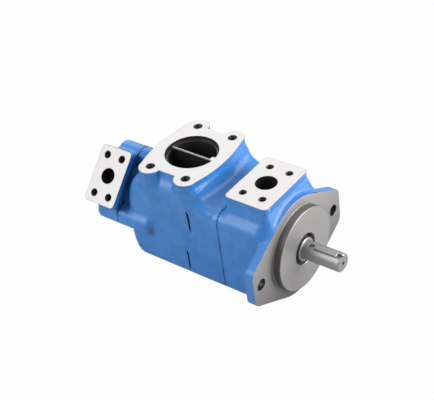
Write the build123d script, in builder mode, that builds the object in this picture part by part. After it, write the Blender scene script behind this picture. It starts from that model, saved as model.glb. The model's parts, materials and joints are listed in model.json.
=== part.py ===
"""Double vane pump: one drive shaft turning two vane cartridges in a three-piece housing.

Frame, in millimetres: the origin is the centre of the mounting face, on the shaft axis.
+X runs out along the shaft, +Z up towards the ports, and Y runs along the mounting ears.
"""
from build123d import *
import os
from math import cos, pi, radians, sin

os.makedirs("parts", exist_ok=True)

# ---- driving dimensions ---------------------------------------------------------------

# mounting face: two-bolt flange with a pilot
pilot_radius = 50.8
pilot_height = 9.65
mount_bolt_span = 146.0
mount_hole_radius = 7.15
flange_thickness = 11.0
flange_disc_radius = 62.0
ear_corner_radius = 12.0
ear_reach = mount_bolt_span / 2 + 14.0
ear_flat_half = 15.0

# housing castings
front_joint_x = -68.0
rear_joint_x = -217.0
body_half = 55.5
waist_half = 55.1
body_corner = 14.0
block_blend = (-16.0, -3.0)
joint_bevel = 1.0
boss_front_round = 9.0
boss_rear_round = 4.0
flank_round = 12.0
flank_rear_reach = (37.5, 19.0, 11.0, 7.7, 7.0, 8.5, 14.0, 23.0)
flank_rear_rise = (0.944, 0.563, 0.163, -0.472, -0.69, -0.907)
flank_front_reach = (42.8, 47.8, 56.3)
flank_front_rise = (8.4, 2.9)
flank_front_gap = 4.0
relief_radius = 30.0
relief_depth = 3.5
relief_width = 2.5
relief_z = 30.0
lug_length_top = 40.0
lug_length_bottom = 50.0
box_rear_x = -208.0
round_radius = 50.0
cover_end_x = -258.0
cover_dome = 4.0

# inlet port: 63.5 mm four-bolt
inlet_x = -139.3
inlet_face_z = 84.6
inlet_bore_radius = 31.75
inlet_bolts_x = 50.8
inlet_bolts_y = 88.9
inlet_hole_radius = 5.5
inlet_hole_depth = 26.0
inlet_lug_radius = 13.8
inlet_bulge = 45.5
inlet_side_half = 46.0
inlet_flange_depth = 12.0
inlet_web = 2.8
inlet_web_drop = 2.6
inlet_web_height = 34.0
inlet_throat_radius = 28.6
inlet_rim = 5.0
inlet_web_boss = 7.0
column_foot_radius = 10.5
column_foot_drop = 9.1
notch_half = 11.0
notch_foot_rise = 1.9
notch_foot_out = 0.9
notch_foot_share = 0.7
notch_round = 6.6

# front outlet port: 25.4 mm four-bolt
outlet_1_x = -36.1
outlet_1_face_z = 76.9
outlet_1_bore_radius = 12.7
outlet_1_bolts_x = 26.2
outlet_1_bolts_y = 52.4
outlet_1_hole_radius = 4.5
outlet_1_hole_depth = 19.0
outlet_1_pad = (56.0, 83.0)
outlet_1_pad_corner = 6.0
outlet_1_pad_depth = 7.0
outlet_1_bore_depth = 20.0
outlet_1_passage_radius = 10.5
outlet_1_skirt = (64.0, 96.0)
outlet_1_skirt_x = -34.0
outlet_1_skirt_sink = 4.5

# rear outlet port: 19.05 mm four-bolt, leaning 45 degrees towards -Y
outlet_2_x = -231.4
outlet_2_face = 72.9
outlet_2_lean = 45.0
outlet_2_bore_radius = 9.525
outlet_2_bolts_x = 22.2
outlet_2_bolts_y = 47.6
outlet_2_hole_radius = 4.65
outlet_2_hole_depth = 16.0
outlet_2_pad = (45.0, 70.0)
outlet_2_pad_corner = 5.0
outlet_2_pad_depth = 8.0
outlet_2_bore_depth = 18.0
outlet_2_passage_radius = 7.5

# drive shaft
shaft_radius = 11.11
shaft_tip_x = 58.7
shaft_chamfer = 1.4
collar_radius = 14.3
collar_front_x = 11.0
key_width = 6.35
key_height = 6.35
key_length = 29.0
key_tip_gap = 5.0
keyway_runout = 7.7
key_lean = 15.0
centre_hole_radius = 2.2
centre_hole_depth = 7.0

# shaft seal
seal_bore_radius = 19.05
seal_setback = 6.0
seal_width = 6.35
seal_shell = 1.2
garter_radius = 0.7

# front ball bearing 30 x 62 x 16
bearing_bore_radius = 15.0
bearing_outer_radius = 31.0
bearing_width = 16.0
bearing_front_x = -7.0
ball_radius = 4.7625
ball_count = 9
race_clearance = 0.05
race_thickness = 4.3
cage_half = 1.6
ball_pocket_gap = 0.15
snap_ring_width = 1.6
snap_ring_depth = 1.4

# rear roller bearing
journal_radius = 10.0
roller_radius = 1.5
roller_count = 18
roller_length = 12.0
rear_bearing_x = -252.0
rear_bearing_wall = 1.6

# vane cartridges
vane_count = 10
first_vane = 18.0
cam_points = 36
outlet_kidney_angle = 135.0
inlet_kidney_angle = 45.0
vane_thickness = 1.9
vane_height = 13.0
slot_clearance = 0.05
rotor_radius = 27.9
cam_minor = 28.5
vane_rest_gap = 0.3
vane_retraction = 0.8
side_clearance = 0.05
slot_floor_gap = 0.4
insert_gap = 0.1
side_plate = 2.0
insert_height = 4.4
insert_share = 0.4
kidney_radius = 30.0
kidney_width = 4.0
kidney_span = 44.0
cartridge_clearance = 0.1
cartridge_screw_radius = 2.5
cartridge_head_radius = 4.25
cartridge_head_height = 5.0
cartridge_screw_circle = 35.0
pin_radius = 2.0
pin_angle = 28.0
hub_seal = 2.4
spline_teeth = 10
spline_tooth = 3.6
spline_root = 1.5

front_ring_radius = 43.0
front_ring_width = 30.0
front_cam_major = 33.0
front_ring_x = -65.0
rear_ring_radius = 39.9
rear_ring_width = 24.0
rear_cam_major = 32.0
rear_ring_x = -202.0
outlet_plate = 8.0
inlet_plate = 10.0
front_hub_length = 12.0
rear_hub_length = 10.0
chamber_length = 6.5
rear_hub_radius = 21.0
plate_bore_radius = 13.4

# fasteners and seals
thread_clearance = 0.05
joint_screw_radius = 5.0
joint_head_radius = 8.0
joint_head_height = 10.0
joint_screw_offset = 40.5
joint_thread_length = 20.0
joint_screw_gap = 0.5
head_pocket_gap = 0.4
tap_run = 4.0
lug_screw_setback = 4.0
cover_screw_circle = 50.5
cover_boss_radius = 13.5
cover_boss_rear_x = -250.0
cover_boss_front_x = -168.0
cover_thread_length = 30.0
socket_share = 0.5
ring_seal = 2.4
ring_seal_groove = 1.8

# ---- worked out from them -------------------------------------------------------------

front_cavity_radius = front_ring_radius + cartridge_clearance
rear_cavity_radius = rear_ring_radius + cartridge_clearance
seal_front_x = pilot_height - seal_setback
seal_back_x = seal_front_x - seal_width
bearing_back_x = bearing_front_x - bearing_width
inner_race_radius = bearing_bore_radius + race_thickness
outer_race_radius = bearing_outer_radius - race_thickness
cage_length = 2 * (ball_radius + cage_half)
bearing_mid_x = (bearing_front_x + bearing_back_x) / 2
pitch_radius = (bearing_bore_radius + bearing_outer_radius) / 2
roller_pitch_radius = journal_radius + roller_radius + race_clearance
rear_race_radius = roller_pitch_radius + roller_radius + race_clearance
rear_bearing_radius = rear_race_radius + rear_bearing_wall
front_spline_major = 12.5
front_spline_minor = 11.0
rear_spline_major = 11.0
rear_spline_minor = 9.9
vane_rest_tip = cam_minor - vane_rest_gap
vane_rest_root = vane_rest_tip - vane_height
slot_bottom = vane_rest_root - vane_retraction - slot_floor_gap
head_pocket_radius = joint_head_radius + head_pocket_gap
inlet_under_z = inlet_face_z - inlet_flange_depth
flank_rear_heights = (
    inlet_under_z, *[waist_half * share for share in flank_rear_rise], -waist_half
)
flank_front_heights = (inlet_under_z, *[waist_half + rise for rise in flank_front_rise])
lug_screw_x = front_joint_x - lug_length_top - lug_screw_setback


def across(x):
    """The plane across the shaft at x: its own x is +Y and its own y is +Z."""
    return Plane.YZ.offset(x)


def outlet_2_plane(distance):
    """The plane facing outlet 2's way at this distance from the shaft axis."""
    lean = radians(outlet_2_lean)
    facing = Vector(0, -sin(lean), cos(lean))
    centre = facing * distance + Vector(outlet_2_x, 0, 0)
    return Plane(origin=centre, x_dir=(1, 0, 0), z_dir=facing)


def finish(piece, name):
    piece.part.label = name
    export_step(piece.part, f"parts/{name}.step")


# ---- front body: mounting flange, pilot, front outlet and front cartridge ----------------

front_chamber_x = (
    front_ring_x + front_ring_width / 2 + side_plate + outlet_plate + chamber_length
)
front_hub_radius = bearing_outer_radius - 0.2

with BuildPart() as front_block:
    with BuildSketch(across(front_joint_x)):
        RectangleRounded(2 * body_half, 2 * body_half, body_corner)
    extrude(amount=block_blend[0] - front_joint_x)
    chamfer(front_block.faces().sort_by(Axis.X)[0].edges(), joint_bevel)
    # from the square block to the round flange
    with BuildSketch(across(block_blend[0])):
        RectangleRounded(2 * body_half, 2 * body_half, body_corner)
    with BuildSketch(across(block_blend[1])):
        RectangleRounded(
            2 * flange_disc_radius - 0.2, 2 * flange_disc_radius - 0.2, flange_disc_radius - 0.2
        )
    loft()

with BuildPart() as front_body:
    with BuildSketch(across(-flange_thickness)):
        Circle(flange_disc_radius)
        with GridLocations(
            2 * (ear_reach - ear_corner_radius), 2 * ear_flat_half, 2, 2
        ):
            Circle(ear_corner_radius)
        make_hull()
    extrude(amount=flange_thickness)
    with BuildSketch(across(0)):
        Circle(pilot_radius)
    extrude(amount=pilot_height)
    chamfer(front_body.faces().sort_by(Axis.X)[-1].edges(), 1.0)
    # the square block behind the flange
    add(front_block.part)
    # the outlet pad and the skirt that carries it
    with BuildSketch(Plane.XY.offset(outlet_1_face_z)):
        with Locations((outlet_1_x, 0)):
            RectangleRounded(*outlet_1_pad, outlet_1_pad_corner)
    extrude(amount=-outlet_1_pad_depth)
    with BuildSketch(Plane.XY.offset(outlet_1_face_z - outlet_1_pad_depth)):
        with Locations((outlet_1_x, 0)):
            RectangleRounded(
                outlet_1_pad[0] - 1.0, outlet_1_pad[1] - 1.0, outlet_1_pad_corner
            )
    with BuildSketch(Plane.XY.offset(body_half - outlet_1_skirt_sink)):
        with Locations((outlet_1_skirt_x, 0)):
            RectangleRounded(*outlet_1_skirt, 2 * outlet_1_pad_corner)
    loft()
    # the stepped bore: cartridge, outlet chamber, bearing, and the seal at the pilot
    with BuildSketch(Plane.XZ):
        with BuildLine():
            Polyline(
                (front_joint_x, 0),
                (front_joint_x, front_cavity_radius),
                (front_chamber_x, front_cavity_radius),
                (front_chamber_x, bearing_outer_radius),
                (bearing_back_x - snap_ring_width, bearing_outer_radius),
                (bearing_back_x - snap_ring_width, bearing_outer_radius + snap_ring_depth),
                (bearing_back_x, bearing_outer_radius + snap_ring_depth),
                (bearing_back_x, bearing_outer_radius),
                (bearing_front_x, bearing_outer_radius),
                (bearing_front_x, inner_race_radius),
                (bearing_front_x + 2.0, inner_race_radius),
                (bearing_front_x + 2.0, collar_radius + 1.2),
                (seal_back_x, collar_radius + 1.2),
                (seal_back_x, seal_bore_radius),
                (pilot_height - 0.8, seal_bore_radius),
                (pilot_height, seal_bore_radius + 0.8),
                (pilot_height, 0),
                close=True,
            )
        make_face()
    revolve(axis=Axis.X, mode=Mode.SUBTRACT)
    # the outlet bore, down to the chamber, and its four bolt holes
    with BuildSketch(Plane.XY.offset(outlet_1_face_z)):
        with Locations((outlet_1_x, 0)):
            Circle(outlet_1_bore_radius)
    extrude(amount=-outlet_1_bore_depth, mode=Mode.SUBTRACT)
    with BuildSketch(Plane.XY.offset(outlet_1_face_z)):
        with Locations((outlet_1_x, 0)):
            Circle(outlet_1_passage_radius)
    extrude(amount=front_cavity_radius - 4.0 - outlet_1_face_z, mode=Mode.SUBTRACT)
    with BuildSketch(Plane.XY.offset(outlet_1_face_z)):
        with Locations((outlet_1_x, 0)):
            with GridLocations(outlet_1_bolts_x, outlet_1_bolts_y, 2, 2):
                Circle(outlet_1_hole_radius)
    extrude(amount=-outlet_1_hole_depth, mode=Mode.SUBTRACT)
    # the mounting holes
    with BuildSketch(across(0)):
        with GridLocations(mount_bolt_span, 0, 2, 1):
            Circle(mount_hole_radius)
    extrude(amount=-flange_thickness, mode=Mode.SUBTRACT)
    # tapped holes for the front joint's screws
    with BuildSketch(across(front_joint_x)):
        with GridLocations(2 * joint_screw_offset, 2 * joint_screw_offset, 2, 2):
            Circle(joint_screw_radius + thread_clearance)
    extrude(amount=joint_thread_length + tap_run, mode=Mode.SUBTRACT)
finish(front_body, "front_body")

# ---- inlet body: the middle casting, with the big port ----------------------------------

front_stop_x = (
    front_ring_x - front_ring_width / 2 - side_plate - inlet_plate
)
rear_stop_x = rear_ring_x + rear_ring_width / 2 + side_plate + inlet_plate
chamber_radius = rear_cavity_radius - 2.0


def inlet_outline():
    """The inlet flange: four lugs on a core with bulged ends and flat, notched sides."""
    lug_x, lug_y = inlet_bolts_x / 2, inlet_bolts_y / 2
    end_x = lug_x + inlet_lug_radius
    with Locations((inlet_x, 0)):
        with GridLocations(inlet_bolts_x, inlet_bolts_y, 2, 2):
            Circle(inlet_lug_radius)
    with BuildLine() as core:
        for side in (1, -1):
            ThreePointArc(
                (inlet_x + side * end_x, -side * lug_y),
                (inlet_x + side * inlet_bulge, 0),
                (inlet_x + side * end_x, side * lug_y),
            )
            Polyline(
                (inlet_x + side * end_x, side * lug_y),
                (inlet_x + side * lug_x, side * inlet_side_half),
                (inlet_x - side * lug_x, side * inlet_side_half),
                (inlet_x - side * end_x, side * lug_y),
            )
    make_face(core.edges())


# the flanks: a side view of the neck and the box, carried across and rounded
with BuildPart() as flanks:
    with BuildSketch(Plane.XZ):
        with BuildLine():
            rear = Spline(
                *[
                    (rear_joint_x + reach, height)
                    for reach, height in zip(flank_rear_reach, flank_rear_heights)
                ]
            )
            front = Spline(
                *[
                    (inlet_x + reach, height)
                    for reach, height in zip(flank_front_reach, flank_front_heights)
                ],
                (front_joint_x - flank_front_gap, waist_half),
            )
            Polyline(rear @ 1, (front_joint_x - flank_front_gap, -waist_half), front @ 1)
            Line(front @ 0, rear @ 0)
        make_face()
    extrude(amount=waist_half, both=True)
    side_faces = flanks.faces().sort_by(Axis.Y)
    fillet(side_faces[0].edges() + side_faces[-1].edges(), flank_round)

with BuildPart() as screw_boss:
    with BuildSketch(across(rear_joint_x)):
        with Locations((0, cover_screw_circle)):
            Circle(cover_boss_radius)
    extrude(amount=cover_boss_front_x - rear_joint_x)
    chamfer(screw_boss.faces().sort_by(Axis.X)[0].edges(), joint_bevel)
    fillet(screw_boss.faces().sort_by(Axis.X)[-1].edges(), boss_front_round)

with BuildPart() as inlet_body:
    # the square front end, whose corners are the lugs for the joint screws
    with BuildSketch(across(front_joint_x)):
        RectangleRounded(2 * body_half, 2 * body_half, body_corner)
    extrude(amount=-lug_length_top)
    chamfer(inlet_body.faces().sort_by(Axis.X)[-1].edges(), joint_bevel)
    with BuildSketch(across(front_joint_x - joint_bevel)):
        RectangleRounded(2 * body_half, 2 * body_half, body_corner)
        with Locations((0, body_half)):
            Rectangle(3 * body_half, 2 * body_half, mode=Mode.SUBTRACT)
    extrude(amount=joint_bevel - lug_length_bottom)
    # the round rear end, inside the flanks, with four bosses for the cover screws
    with BuildSketch(across(rear_joint_x)):
        Circle(round_radius)
    extrude(amount=front_joint_x - lug_length_top / 2 - rear_joint_x)
    chamfer(inlet_body.faces().sort_by(Axis.X)[0].edges(), joint_bevel)
    add(flanks.part)
    for turn in range(4):
        add(screw_boss.part.rotate(Axis.X, 90 * turn))
    # the inlet flange, and the columns that carry its lugs and fade into the flanks
    with BuildSketch(Plane.XY.offset(inlet_face_z)):
        inlet_outline()
    extrude(amount=-inlet_flange_depth)
    column_foot_y = waist_half - column_foot_radius - 2.0
    for side_x in (-1, 1):
        for side_y in (-1, 1):
            lug_x = inlet_x + side_x * inlet_bolts_x / 2
            with BuildSketch(Plane.XY.offset(inlet_under_z)):
                with Locations((lug_x, side_y * inlet_bolts_y / 2)):
                    Circle(inlet_lug_radius)
            with BuildSketch(Plane.XY.offset(waist_half - column_foot_drop)):
                with Locations((lug_x, side_y * column_foot_y)):
                    Circle(column_foot_radius)
            loft()
    # the sloping notch between the columns on each side
    for side in (-1, 1):
        notch_out = inlet_bolts_y / 2 + 2 * inlet_lug_radius
        notch_top_y = (inlet_side_half + notch_out) / 2
        notch_foot_y = waist_half + notch_foot_out
        notch_low_y = (notch_foot_y + notch_out) / 2
        with BuildSketch(Plane.XY.offset(inlet_face_z + 0.1)):
            with Locations((inlet_x, side * notch_top_y)):
                RectangleRounded(2 * notch_half, notch_out - inlet_side_half, notch_round)
        with BuildSketch(Plane.XY.offset(waist_half + notch_foot_rise)):
            with Locations((inlet_x, side * notch_low_y)):
                RectangleRounded(
                    2 * notch_half * notch_foot_share,
                    notch_out - notch_foot_y,
                    notch_round * notch_foot_share,
                )
        loft(mode=Mode.SUBTRACT)
    # the stepped bore: front cartridge, inlet chamber, rear cartridge
    with BuildSketch(Plane.XZ):
        with BuildLine():
            Polyline(
                (front_joint_x, 0),
                (front_joint_x, front_cavity_radius),
                (front_stop_x, front_cavity_radius),
                (front_stop_x, chamber_radius),
                (rear_stop_x, chamber_radius),
                (rear_stop_x, rear_cavity_radius),
                (rear_joint_x, rear_cavity_radius),
                (rear_joint_x, 0),
                close=True,
            )
        make_face()
    revolve(axis=Axis.X, mode=Mode.SUBTRACT)
    # the inlet: a machined rim over a narrower cast throat, split by the web
    with BuildSketch(Plane.XY.offset(inlet_face_z)):
        with Locations((inlet_x, 0)):
            Circle(inlet_bore_radius)
    extrude(amount=-inlet_rim, mode=Mode.SUBTRACT)
    with BuildSketch(Plane.XY.offset(inlet_face_z)):
        with Locations((inlet_x, 0)):
            Circle(inlet_throat_radius)
    extrude(amount=front_spline_minor - inlet_face_z, mode=Mode.SUBTRACT)
    web_top_z = inlet_face_z - inlet_web_drop
    with BuildSketch(Plane.XY.offset(web_top_z)):
        with Locations((inlet_x, 0)):
            Rectangle(2 * inlet_throat_radius + 2.0, inlet_web)
    extrude(amount=-inlet_web_height)
    with BuildSketch(Plane.XY.offset(inlet_face_z)):
        with Locations((inlet_x + inlet_bore_radius - 1.0, 0)):
            RectangleRounded(inlet_web_boss, inlet_web_boss, inlet_web_boss * 0.3)
    extrude(amount=-inlet_rim - 3.0)
    with BuildSketch(Plane.XY.offset(inlet_face_z)):
        with Locations((inlet_x, 0)):
            with GridLocations(inlet_bolts_x, inlet_bolts_y, 2, 2):
                Circle(inlet_hole_radius)
    extrude(amount=-inlet_hole_depth, mode=Mode.SUBTRACT)
    # clearance holes for the joint screws, with the way in for their heads from the rear
    with BuildSketch(across(front_joint_x)):
        with GridLocations(2 * joint_screw_offset, 2 * joint_screw_offset, 2, 2):
            Circle(joint_screw_radius + joint_screw_gap)
    extrude(amount=lug_screw_x - front_joint_x, mode=Mode.SUBTRACT)
    with BuildSketch(across(box_rear_x)):
        with GridLocations(2 * joint_screw_offset, 2 * joint_screw_offset, 2, 2):
            Circle(head_pocket_radius)
    extrude(amount=lug_screw_x - box_rear_x, mode=Mode.SUBTRACT)
    # scalloped reliefs behind the four lugs, on both flanks
    for height, reach in ((relief_z, lug_length_top), (-relief_z, lug_length_bottom)):
        for side in (-1, 1):
            centre_y = side * (waist_half + relief_radius - relief_depth)
            with BuildSketch(across(front_joint_x - reach)):
                with Locations((centre_y, height)):
                    Circle(relief_radius)
            extrude(amount=-relief_width, mode=Mode.SUBTRACT)
    # tapped holes for the cover screws
    with BuildSketch(across(rear_joint_x)):
        with PolarLocations(cover_screw_circle, 4):
            Circle(joint_screw_radius + thread_clearance)
    extrude(amount=cover_thread_length + tap_run, mode=Mode.SUBTRACT)
    # grooves for the two joint seals
    with BuildSketch(across(front_joint_x)):
        Circle(front_cavity_radius + ring_seal_groove + ring_seal + 0.4)
        Circle(front_cavity_radius + ring_seal_groove, mode=Mode.SUBTRACT)
    extrude(amount=-ring_seal, mode=Mode.SUBTRACT)
    with BuildSketch(across(rear_joint_x)):
        Circle(rear_cavity_radius + ring_seal_groove + ring_seal + 0.4)
        Circle(rear_cavity_radius + ring_seal_groove, mode=Mode.SUBTRACT)
    extrude(amount=ring_seal, mode=Mode.SUBTRACT)
finish(inlet_body, "inlet_body")

# ---- rear cover, with the rear outlet ---------------------------------------------------

rear_chamber_x = (
    rear_ring_x - rear_ring_width / 2 - side_plate - outlet_plate - chamber_length
)
rear_hub_end_x = (
    rear_ring_x - rear_ring_width / 2 - side_plate - outlet_plate - rear_hub_length
)

with BuildPart() as cover_boss:
    with BuildSketch(across(rear_joint_x)):
        with Locations((0, cover_screw_circle)):
            Circle(cover_boss_radius)
    extrude(amount=cover_boss_rear_x - rear_joint_x)
    chamfer(cover_boss.faces().sort_by(Axis.X)[-1].edges(), joint_bevel)
    fillet(cover_boss.faces().sort_by(Axis.X)[0].edges(), boss_rear_round)

with BuildPart() as rear_cover:
    with BuildSketch(across(rear_joint_x)):
        Circle(round_radius)
    extrude(amount=cover_boss_rear_x - rear_joint_x)
    chamfer(rear_cover.faces().sort_by(Axis.X)[-1].edges(), joint_bevel)
    fillet(rear_cover.faces().sort_by(Axis.X)[0].edges(), cover_dome)
    with BuildSketch(across(cover_boss_rear_x)):
        Circle(cover_screw_circle - head_pocket_radius - 1.5)
    extrude(amount=cover_end_x - cover_boss_rear_x)
    fillet(rear_cover.faces().sort_by(Axis.X)[0].edges(), cover_dome)
    for turn in range(4):
        add(cover_boss.part.rotate(Axis.X, 90 * turn))
    # the leaning outlet pad and its skirt
    with BuildSketch(outlet_2_plane(outlet_2_face)):
        RectangleRounded(*outlet_2_pad, outlet_2_pad_corner)
    extrude(amount=-outlet_2_pad_depth)
    skirt_low_x, skirt_high_x = cover_boss_rear_x, rear_joint_x - 0.8
    skirt_step = (skirt_low_x + skirt_high_x) / 2 - outlet_2_x
    with BuildSketch(outlet_2_plane(outlet_2_face - outlet_2_pad_depth)):
        RectangleRounded(
            outlet_2_pad[0] - 1.0, outlet_2_pad[1] - 1.0, outlet_2_pad_corner
        )
    with BuildSketch(outlet_2_plane(round_radius + 2.0)):
        with Locations((skirt_step, 0)):
            RectangleRounded(
                skirt_high_x - skirt_low_x, outlet_2_pad[1] + 2.0, outlet_2_pad_corner
            )
    loft()
    with BuildSketch(outlet_2_plane(round_radius + 2.0)):
        with Locations((skirt_step, 0)):
            RectangleRounded(
                skirt_high_x - skirt_low_x, outlet_2_pad[1] + 2.0, outlet_2_pad_corner
            )
    extrude(amount=-round_radius * 0.4)
    # the stepped bore: cartridge and outlet chamber, plate hub, bearing, shaft end
    with BuildSketch(Plane.XZ):
        with BuildLine():
            Polyline(
                (rear_joint_x, 0),
                (rear_joint_x, rear_cavity_radius),
                (rear_chamber_x, rear_cavity_radius),
                (rear_chamber_x, rear_hub_radius + cartridge_clearance),
                (rear_hub_end_x - 2.0, rear_hub_radius + cartridge_clearance),
                (rear_hub_end_x - 2.0, rear_bearing_radius),
                (rear_bearing_x, rear_bearing_radius),
                (rear_bearing_x, 0),
                close=True,
            )
        make_face()
    revolve(axis=Axis.X, mode=Mode.SUBTRACT)
    with BuildSketch(outlet_2_plane(outlet_2_face)):
        Circle(outlet_2_bore_radius)
    extrude(amount=-outlet_2_bore_depth, mode=Mode.SUBTRACT)
    with BuildSketch(outlet_2_plane(outlet_2_face)):
        Circle(outlet_2_passage_radius)
    extrude(amount=rear_cavity_radius - 5.0 - outlet_2_face, mode=Mode.SUBTRACT)
    with BuildSketch(outlet_2_plane(outlet_2_face)):
        with GridLocations(outlet_2_bolts_x, outlet_2_bolts_y, 2, 2):
            Circle(outlet_2_hole_radius)
    extrude(amount=-outlet_2_hole_depth, mode=Mode.SUBTRACT)
    # counterbored holes for the cover screws
    with BuildSketch(across(cover_boss_rear_x)):
        with PolarLocations(cover_screw_circle, 4):
            Circle(joint_screw_radius + joint_screw_gap)
    extrude(amount=rear_joint_x - cover_boss_rear_x, mode=Mode.SUBTRACT)
    with BuildSketch(across(cover_boss_rear_x)):
        with PolarLocations(cover_screw_circle, 4):
            Circle(head_pocket_radius)
    extrude(amount=joint_head_height + joint_screw_gap, mode=Mode.SUBTRACT)
finish(rear_cover, "rear_cover")


# ---- fasteners ----------------------------------------------------------------------------


def cap_screws(seat_x, length, spots):
    """Socket head screws along X: the heads sit at seat_x and the shanks run to +X."""
    with BuildPart() as screws:
        for y, z in spots:
            with BuildSketch(across(seat_x)):
                with Locations((y, z)):
                    Circle(joint_screw_radius)
            extrude(amount=length)
            with BuildSketch(across(seat_x)):
                with Locations((y, z)):
                    Circle(joint_head_radius)
            extrude(amount=-joint_head_height)
            with BuildSketch(across(seat_x - joint_head_height)):
                with Locations((y, z)):
                    RegularPolygon(joint_head_radius * socket_share, 6)
            extrude(amount=joint_head_height * socket_share, mode=Mode.SUBTRACT)
    return screws


corner_spots = [
    (y * joint_screw_offset, z * joint_screw_offset) for y in (-1, 1) for z in (-1, 1)
]
front_joint_screws = cap_screws(
    lug_screw_x, front_joint_x - lug_screw_x + joint_thread_length, corner_spots
)
finish(front_joint_screws, "front_joint_screws")

round_spots = [
    (cover_screw_circle * cos(turn * pi / 2), cover_screw_circle * sin(turn * pi / 2))
    for turn in range(4)
]
cover_seat_x = cover_boss_rear_x + joint_head_height + joint_screw_gap
rear_cover_screws = cap_screws(
    cover_seat_x, rear_joint_x - cover_seat_x + cover_thread_length, round_spots
)
finish(rear_cover_screws, "rear_cover_screws")


def ring(x_low, x_high, inner, outer):
    """A plain ring round the shaft."""
    with BuildPart() as piece:
        with BuildSketch(Plane.XZ):
            with Locations(((x_low + x_high) / 2, (inner + outer) / 2)):
                Rectangle(x_high - x_low, outer - inner)
        revolve(axis=Axis.X)
    return piece


front_seal_inner = front_cavity_radius + ring_seal_groove + 0.2
front_joint_seal = ring(
    front_joint_x - ring_seal + 0.05, front_joint_x - 0.05,
    front_seal_inner, front_seal_inner + ring_seal,
)
finish(front_joint_seal, "front_joint_seal")
rear_seal_inner = rear_cavity_radius + ring_seal_groove + 0.2
rear_joint_seal = ring(
    rear_joint_x + 0.05, rear_joint_x + ring_seal - 0.05,
    rear_seal_inner, rear_seal_inner + ring_seal,
)
finish(rear_joint_seal, "rear_joint_seal")
bearing_retaining_ring = ring(
    bearing_back_x - snap_ring_width + 0.05, bearing_back_x - 0.05,
    bearing_outer_radius - 3.0, bearing_outer_radius + snap_ring_depth - 0.1,
)
finish(bearing_retaining_ring, "bearing_retaining_ring")

# ---- shaft seal: steel case, rubber lip and garter spring ----------------------------------

seal_case_inner = seal_bore_radius - seal_shell
with BuildPart() as shaft_seal_case:
    with BuildSketch(Plane.XZ):
        with BuildLine():
            Polyline(
                (seal_back_x, seal_bore_radius),
                (seal_front_x, seal_bore_radius),
                (seal_front_x, seal_case_inner - 1.6),
                (seal_front_x - seal_shell, seal_case_inner - 1.6),
                (seal_front_x - seal_shell, seal_case_inner),
                (seal_back_x, seal_case_inner),
                close=True,
            )
        make_face()
    revolve(axis=Axis.X)
finish(shaft_seal_case, "shaft_seal_case")

with BuildPart() as shaft_seal_lip:
    with BuildSketch(Plane.XZ):
        with BuildLine():
            Polyline(
                (seal_front_x - 0.1, seal_case_inner - 1.7),
                (seal_front_x - 0.1, collar_radius + 0.6),
                (seal_front_x - 1.0, collar_radius + race_clearance),
                (seal_back_x + 2.4, collar_radius + race_clearance),
                (seal_back_x + 0.8, collar_radius + 0.9),
                (seal_back_x + 0.8, collar_radius + 2.0),
                (seal_front_x - 2.6, collar_radius + 2.0),
                (seal_front_x - 2.6, seal_case_inner - 0.1),
                (seal_front_x - seal_shell - 0.1, seal_case_inner - 0.1),
                (seal_front_x - seal_shell - 0.1, seal_case_inner - 1.7),
                close=True,
            )
        make_face()
    revolve(axis=Axis.X)
finish(shaft_seal_lip, "shaft_seal_lip")

with BuildPart() as seal_garter_spring:
    with BuildSketch(Plane.XZ):
        with Locations((seal_back_x + 1.8, collar_radius + 2.05 + garter_radius)):
            Circle(garter_radius)
    revolve(axis=Axis.X)
finish(seal_garter_spring, "seal_garter_spring")

# ---- drive shaft, key and snap ring -------------------------------------------------------


def spline_teeth_outline(minor, major, gap=0.0):
    """Straight-sided spline teeth, rooted below the minor radius, grown by a gap."""
    root = minor - spline_root
    with PolarLocations((root + major + gap) / 2, spline_teeth):
        Rectangle(major + gap - root, spline_tooth + 2 * gap)


front_rotor_low = front_ring_x - front_ring_width / 2
front_rotor_high = front_ring_x + front_ring_width / 2
rear_rotor_low = rear_ring_x - rear_ring_width / 2
rear_rotor_high = rear_ring_x + rear_ring_width / 2
snap_groove_x = bearing_front_x + snap_ring_width
shaft_end_x = rear_bearing_x + 1.0
keyway_low_x = shaft_tip_x - key_tip_gap - key_length - keyway_runout
key_bottom = shaft_radius - key_height / 2 - 0.1

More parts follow.
